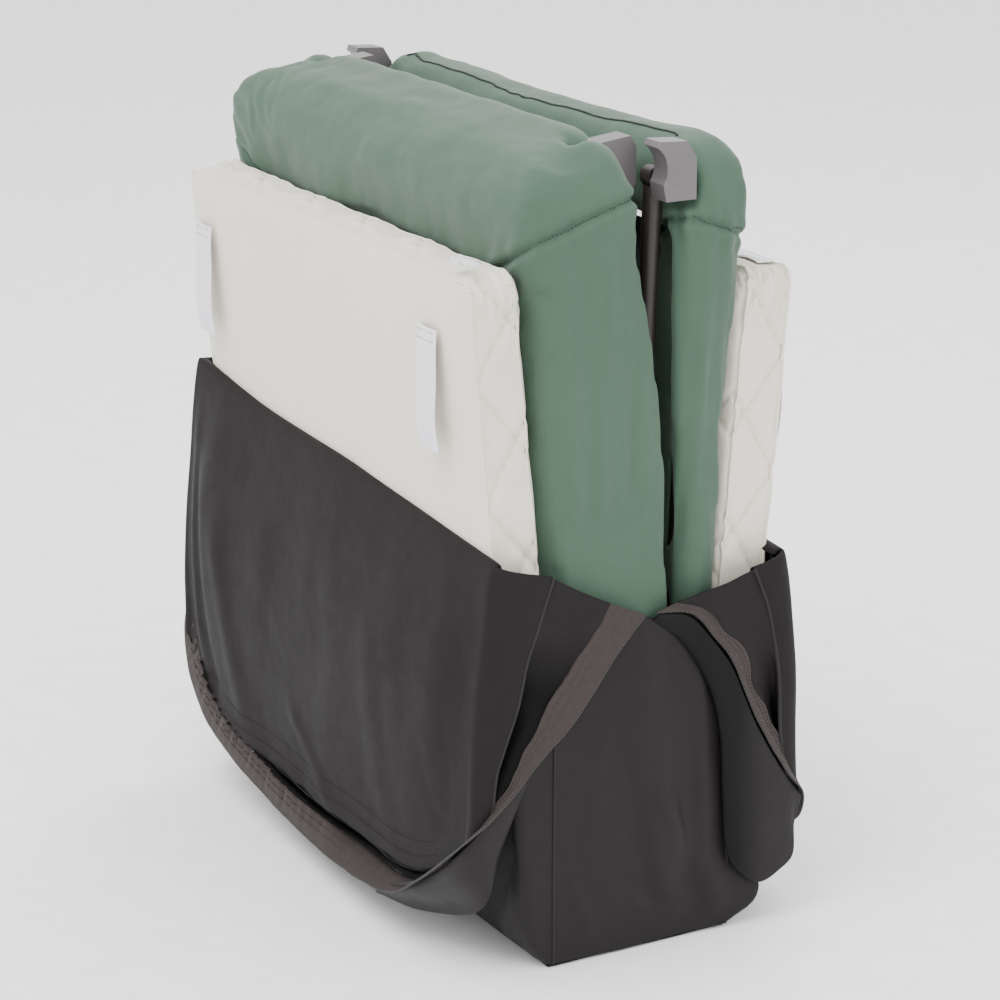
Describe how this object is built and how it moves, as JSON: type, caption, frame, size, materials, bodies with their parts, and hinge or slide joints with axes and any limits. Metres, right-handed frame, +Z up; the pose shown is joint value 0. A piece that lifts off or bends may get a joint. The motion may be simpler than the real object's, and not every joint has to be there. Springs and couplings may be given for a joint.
{
  "type": "folded travel playpen in carry bag",
  "caption": "Folded travel playpen standing in its opened carry bag, with padded end frames back to back, mattress halves leaning outside and bag flaps turned down.",
  "frame": {"origin": "middle of the bag's flat base, on the floor", "axes": "+X along the width to the end with the low fold line, -Y to the front flap, +Z up"},
  "size_m": [0.68, 0.4068, 0.783],
  "materials": {
    "sleeve_fabric": "fine woven green polyester over padding",
    "wall_fabric": "green woven wall cloth",
    "bag_fabric": "charcoal nylon, slight sheen",
    "bag_tape": "brown-grey woven zip tape",
    "mattress_fabric": "off-white quilted cotton cover",
    "strap_webbing": "white webbing",
    "zip_tape": "white zip tape",
    "zip_metal": "white coated slider",
    "bag_zip_metal": "dark coated slider",
    "foam": "open-cell foam",
    "board": "pressed board",
    "tube": "brushed tube",
    "pin": "steel pin",
    "fitting": "moulded grey plastic",
    "foot_rubber": "soft rubber",
    "base_stiffener": "ribbed plastic board"
  },
  "bodies": {
    "bag": {"base_board": "base_stiffener", "bag_base": "bag_fabric", "bag_front": "bag_fabric", "bag_rear": "bag_fabric", "bag_end_right": "bag_fabric", "bag_end_left": "bag_fabric", "bag_zip_slider": "bag_zip_metal"},
    "bag_zip_tab": {"bag_zip_pull": "bag_zip_metal"},
    "front_hood": {"front_flap": "bag_fabric", "front_flap_wings": "bag_fabric", "front_flap_zip_tape": "bag_tape", "front_flap_piping": "bag_fabric"},
    "rear_hood": {"rear_flap": "bag_fabric", "rear_flap_wings": "bag_fabric", "rear_flap_zip_tape": "bag_tape", "rear_flap_piping": "bag_fabric"},
    "front_frame": {"front_tube": "tube", "front_foot_rail": "tube", "front_feet": "foot_rubber", "front_lower_brackets": "fitting", "front_top_sleeve": "sleeve_fabric", "front_left_post_sleeve": "sleeve_fabric", "front_right_post_sleeve": "sleeve_fabric", "front_foot_sleeve": "sleeve_fabric", "front_panel": "wall_fabric", "front_corner_blocks": "fitting", "front_pivot_pins": "pin", "fold_pins": "pin", "folded_nets": "wall_fabric", "folded_floor": "wall_fabric"},
    "rear_frame": {"rear_tube": "tube", "rear_foot_rail": "tube", "rear_feet": "foot_rubber", "rear_lower_brackets": "fitting", "rear_top_sleeve": "sleeve_fabric", "rear_left_post_sleeve": "sleeve_fabric", "rear_right_post_sleeve": "sleeve_fabric", "rear_foot_sleeve": "sleeve_fabric", "rear_panel": "wall_fabric", "rear_corner_caps": "fitting", "rear_pivot_pins": "pin"},
    "right_front_rail": {"right_front_rail": "tube"},
    "right_rear_rail": {"right_rear_rail": "tube"},
    "left_front_rail": {"left_front_rail": "tube"},
    "left_rear_rail": {"left_rear_rail": "tube"},
    "front_mattress": {"front_mattress_cover": "mattress_fabric", "front_mattress_core": "foam", "front_mattress_board": "board", "front_mattress_zip": "zip_tape"},
    "rear_mattress": {"rear_mattress_cover": "mattress_fabric", "rear_mattress_core": "foam", "rear_mattress_board": "board", "rear_mattress_zip": "zip_tape"},
    "front_slider": {"front_zip_slider": "zip_metal"},
    "front_slider_tab": {"front_zip_pull": "zip_metal"},
    "rear_slider": {"rear_zip_slider": "zip_metal"},
    "front_strap_left": {"front_strap_left": "strap_webbing"},
    "front_strap_right": {"front_strap_right": "strap_webbing"},
    "rear_strap_left": {"rear_strap_left": "strap_webbing"},
    "rear_strap_right": {"rear_strap_right": "strap_webbing"}
  },
  "joints": [
    {"name": "frame_lift", "type": "slide", "parent": "bag", "child": "front_frame", "axis": [0, 0, 1], "range_m": [0, 0.5]},
    {"name": "frame_fold", "type": "hinge", "parent": "front_frame", "child": "rear_frame", "pos_m": [0, 0.02065, 0.03], "axis": [1, 0, 0], "range_deg": [0, 1.5]},
    {"name": "right_front_rail_pivot", "type": "hinge", "parent": "front_frame", "child": "right_front_rail", "pos_m": [0, -0.004, 0.745], "axis": [1, 0, 0], "range_deg": [-1.3, 0.1]},
    {"name": "right_rear_rail_pivot", "type": "hinge", "parent": "rear_frame", "child": "right_rear_rail", "pos_m": [0, 0.03, 0.745], "axis": [1, 0, 0], "range_deg": [-0.5, 0.1]},
    {"name": "left_front_rail_pivot", "type": "hinge", "parent": "front_frame", "child": "left_front_rail", "pos_m": [0, -0.004, 0.745], "axis": [1, 0, 0], "range_deg": [-1.3, 0.1]},
    {"name": "left_rear_rail_pivot", "type": "hinge", "parent": "rear_frame", "child": "left_rear_rail", "pos_m": [0, 0.03, 0.745], "axis": [1, 0, 0], "range_deg": [-0.5, 0.1]},
    {"name": "front_mattress_lift", "type": "slide", "parent": "bag", "child": "front_mattress", "axis": [0, -0.0929, 0.9957], "range_m": [0, 0.6]},
    {"name": "rear_mattress_lift", "type": "slide", "parent": "bag", "child": "rear_mattress", "axis": [0, 0.0786, 0.9969], "range_m": [0, 0.6]},
    {"name": "front_flap_fold", "type": "hinge", "parent": "bag", "child": "front_hood", "pos_m": [0, -0.16328, 0.426], "axis": [-0.9944, -0.0098, 0.105], "range_deg": [0, 150]},
    {"name": "rear_flap_fold", "type": "hinge", "parent": "bag", "child": "rear_hood", "pos_m": [0, 0.16293, 0.413], "axis": [0.9951, -0.0078, -0.0989], "range_deg": [0, 150]},
    {"name": "front_mattress_zip_slide", "type": "slide", "parent": "front_mattress", "child": "front_slider", "axis": [-1, 0, 0], "range_m": [0, 0.52]},
    {"name": "front_mattress_zip_tab", "type": "hinge", "parent": "front_slider", "child": "front_slider_tab", "pos_m": [0.2695, -0.16392, 0.68697], "axis": [0, -0.9957, -0.0929], "range_deg": [0, 150]},
    {"name": "rear_mattress_zip_slide", "type": "slide", "parent": "rear_mattress", "child": "rear_slider", "axis": [1, 0, 0], "range_m": [0, 0.52]},
    {"name": "bag_zip_tab_swing", "type": "hinge", "parent": "bag", "child": "bag_zip_tab", "pos_m": [-0.3275, 0.015, 0.383], "axis": [0, 1, 0], "range_deg": [0, 110]},
    {"name": "front_strap_left_peel", "type": "hinge", "parent": "front_mattress", "child": "front_strap_left", "pos_m": [-0.268, -0.17575, 0.61688], "axis": [1, 0, 0], "range_deg": [-70, 0]},
    {"name": "front_strap_right_peel", "type": "hinge", "parent": "front_mattress", "child": "front_strap_right", "pos_m": [0.231, -0.17575, 0.61688], "axis": [1, 0, 0], "range_deg": [-70, 0]},
    {"name": "rear_strap_left_peel", "type": "hinge", "parent": "rear_mattress", "child": "rear_strap_left", "pos_m": [-0.231, 0.17165, 0.5925], "axis": [-1, 0, 0], "range_deg": [-70, 0]},
    {"name": "rear_strap_right_peel", "type": "hinge", "parent": "rear_mattress", "child": "rear_strap_right", "pos_m": [0.268, 0.17165, 0.5925], "axis": [-1, 0, 0], "range_deg": [-70, 0]}
  ],
  "couplings": [
    {"joint": "right_front_rail_pivot", "follows": "frame_fold", "ratio": -0.76},
    {"joint": "right_rear_rail_pivot", "follows": "frame_fold", "ratio": -0.24},
    {"joint": "left_front_rail_pivot", "follows": "frame_fold", "ratio": -0.76},
    {"joint": "left_rear_rail_pivot", "follows": "frame_fold", "ratio": -0.24}
  ]
}
